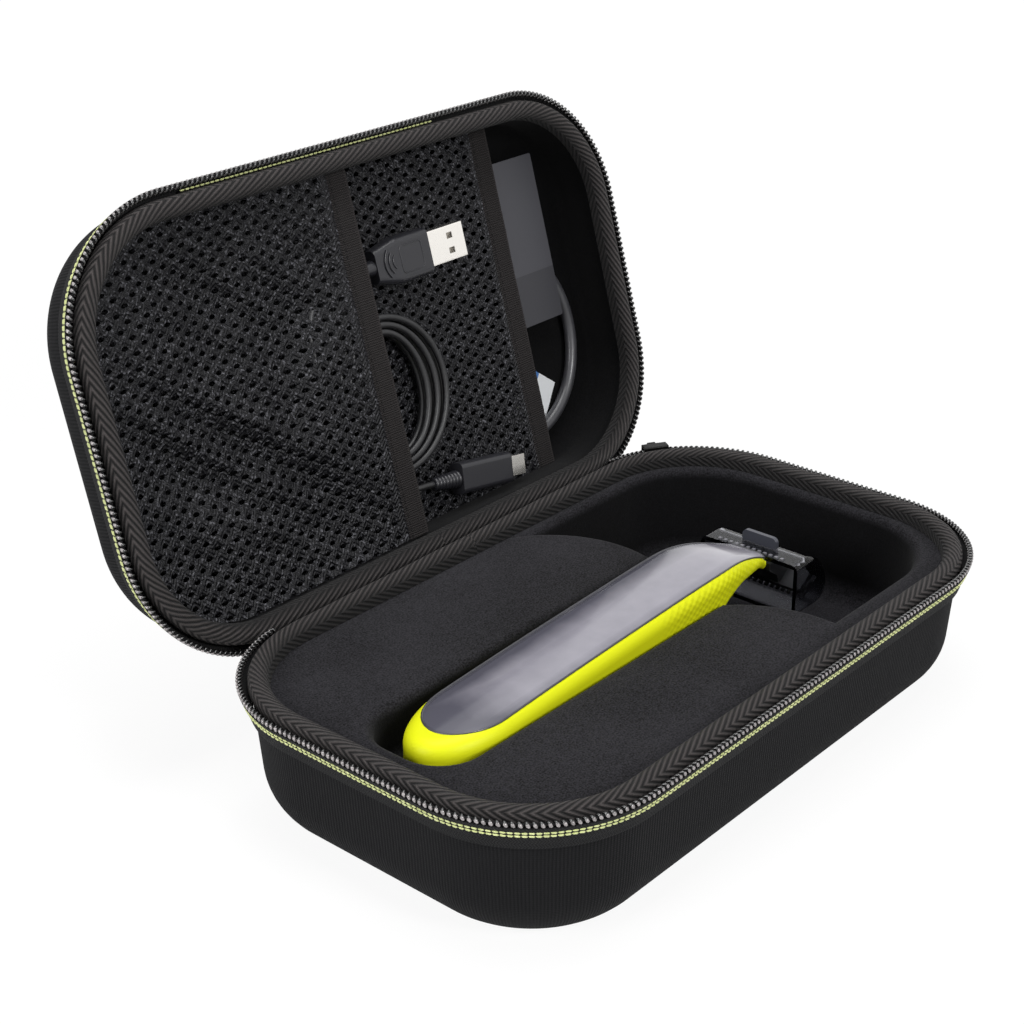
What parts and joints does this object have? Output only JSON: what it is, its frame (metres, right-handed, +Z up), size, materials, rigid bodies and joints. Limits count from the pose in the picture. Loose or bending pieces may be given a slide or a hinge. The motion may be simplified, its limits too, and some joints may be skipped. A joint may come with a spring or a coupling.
{
  "type": "hard travel case with shaver",
  "caption": "Zipped hard travel case for an electric body shaver, open, with tray, mesh pockets, shaver and charging lead.",
  "frame": {"origin": "middle of the face that the base rests on", "axes": "+X along the case, +Y towards the hinge, +Z up"},
  "size_m": [0.237, 0.2037, 0.171],
  "materials": {
    "shell_cloth": "fine knit, matt",
    "felt_lining": "brushed felt",
    "tray_felt": "flocked foam",
    "binding_tape": "herringbone weave",
    "zip_cloth": "woven tape, yellow-green stitches",
    "zip_nylon": "wound nylon coil",
    "slider_metal": "black enamel on zinc",
    "pocket_mesh": "knitted mesh with oval holes",
    "elastic": "ribbed elastic",
    "lead_rubber": "satin",
    "plug_steel": "nickel plate",
    "dark_card": "coated card",
    "leaflet_paper": "printed paper",
    "lime_grip": "satin rubber",
    "smoke_cover": "smoky, slightly clear",
    "lime_button": "satin",
    "cell_wrap": "shrink wrap",
    "motor_can": "drawn can",
    "board": "solder mask",
    "head_plastic": "satin",
    "blade_steel": "ground",
    "clear_cap": "clear, polished"
  },
  "bodies": {
    "base": {"base_shell": "shell_cloth", "base_lining": "felt_lining", "base_binding": "binding_tape", "base_zip_tape": "zip_cloth", "base_zip_coil": "zip_nylon", "tray": "tray_felt", "hinge_strip": "shell_cloth"},
    "lid": {"lid_shell": "shell_cloth", "lid_lining": "felt_lining", "lid_binding": "binding_tape", "lid_zip_tape": "zip_cloth", "lid_zip_coil": "zip_nylon", "pocket_mesh_front": "pocket_mesh", "pocket_mesh_rear": "pocket_mesh", "elastic_band_front": "elastic", "elastic_band_rear": "elastic", "usb_plug_body": "lead_rubber", "usb_plug_shell": "plug_steel", "micro_plug_relief": "lead_rubber", "micro_plug_body": "lead_rubber", "micro_plug_tip": "plug_steel", "thin_lead_coil": "lead_rubber", "thin_lead_usb_end": "lead_rubber", "thin_lead_micro_end": "lead_rubber", "thick_lead": "lead_rubber", "thick_lead_plug_top": "lead_rubber", "thick_lead_plug_low": "lead_rubber", "card": "dark_card", "leaflet": "leaflet_paper"},
    "slider": {"zip_slider": "slider_metal"},
    "pull": {"zip_pull": "slider_metal"},
    "shaver": {"shaver_grip": "lime_grip", "shaver_back_cover": "smoke_cover", "battery": "cell_wrap", "circuit_board": "board", "motor": "motor_can", "blade_carrier": "head_plastic", "blade_guard": "blade_steel"},
    "cutter": {"blade_cutter": "blade_steel"},
    "button": {"power_button": "lime_button"},
    "cap": {"travel_cap": "clear_cap"}
  },
  "joints": [
    {"name": "lid_hinge", "type": "hinge", "parent": "base", "child": "lid", "pos_m": [0, 0.0671, 0.0407], "axis": [-1, 0, 0], "range_deg": [-105.2, 29.8], "deforming": ["hinge_strip"]},
    {"name": "slider_travel", "type": "hinge", "parent": "base", "child": "slider", "pos_m": [0.0747, 0.0266, 0.0454], "axis": [0, 0, 1], "range_deg": [-58, 0]},
    {"name": "pull_swing", "type": "hinge", "parent": "slider", "child": "pull", "pos_m": [0.09942, 0.06616, 0.0454], "axis": [-0.848, 0.5299, 0], "range_deg": [-85, 0]},
    {"name": "shaver_lift", "type": "slide", "parent": "base", "child": "shaver", "axis": [0, 0, 1], "range_m": [0, 0.09]},
    {"name": "cutter_stroke", "type": "slide", "parent": "shaver", "child": "cutter", "axis": [0, 1, 0], "range_m": [-0.0007, 0.0007]},
    {"name": "button_press", "type": "slide", "parent": "shaver", "child": "button", "axis": [0, 0, 1], "range_m": [0, 0.0008], "stiffness_N_per_m": 900},
    {"name": "cap_slide", "type": "slide", "parent": "shaver", "child": "cap", "axis": [1, 0, 0], "range_m": [0, 0.018]}
  ]
}
